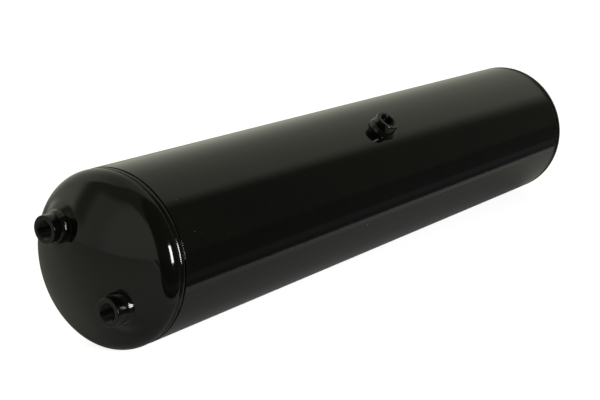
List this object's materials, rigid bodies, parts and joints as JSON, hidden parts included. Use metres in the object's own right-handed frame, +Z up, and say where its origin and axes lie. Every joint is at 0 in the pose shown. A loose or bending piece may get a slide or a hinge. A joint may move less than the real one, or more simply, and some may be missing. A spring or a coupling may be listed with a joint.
{
  "type": "horizontal compressed-air reservoir",
  "caption": "Black compressed-air tank: a round welded steel shell lying on its side, closed by domed pressed ends, with threaded port bosses in the ends and half-way along the shell.",
  "frame": {"origin": "on the floor under the middle of the tank", "axes": "+X along the tank from the front head to the rear head, +Y away from the shell port's side, +Z up"},
  "size_m": [1.0588, 0.206, 0.2075],
  "materials": {
    "painted_sheet": "gloss black paint on pressed and rolled steel",
    "painted_boss": "gloss black paint on turned steel",
    "painted_weld": "gloss black paint over a weld bead"
  },
  "bodies": {
    "root": {"shell": "painted_sheet", "shell_seam_weld": "painted_weld", "shell_port": "painted_boss", "shell_port_weld": "painted_weld", "front_head": "painted_sheet", "front_ring_weld": "painted_weld", "front_upper_port": "painted_boss", "front_upper_port_weld": "painted_weld", "front_lower_port": "painted_boss", "front_lower_port_weld": "painted_weld", "rear_head": "painted_sheet", "rear_ring_weld": "painted_weld", "rear_upper_port": "painted_boss", "rear_upper_port_weld": "painted_weld", "rear_lower_port": "painted_boss", "rear_lower_port_weld": "painted_weld"}
  },
  "joints": []
}
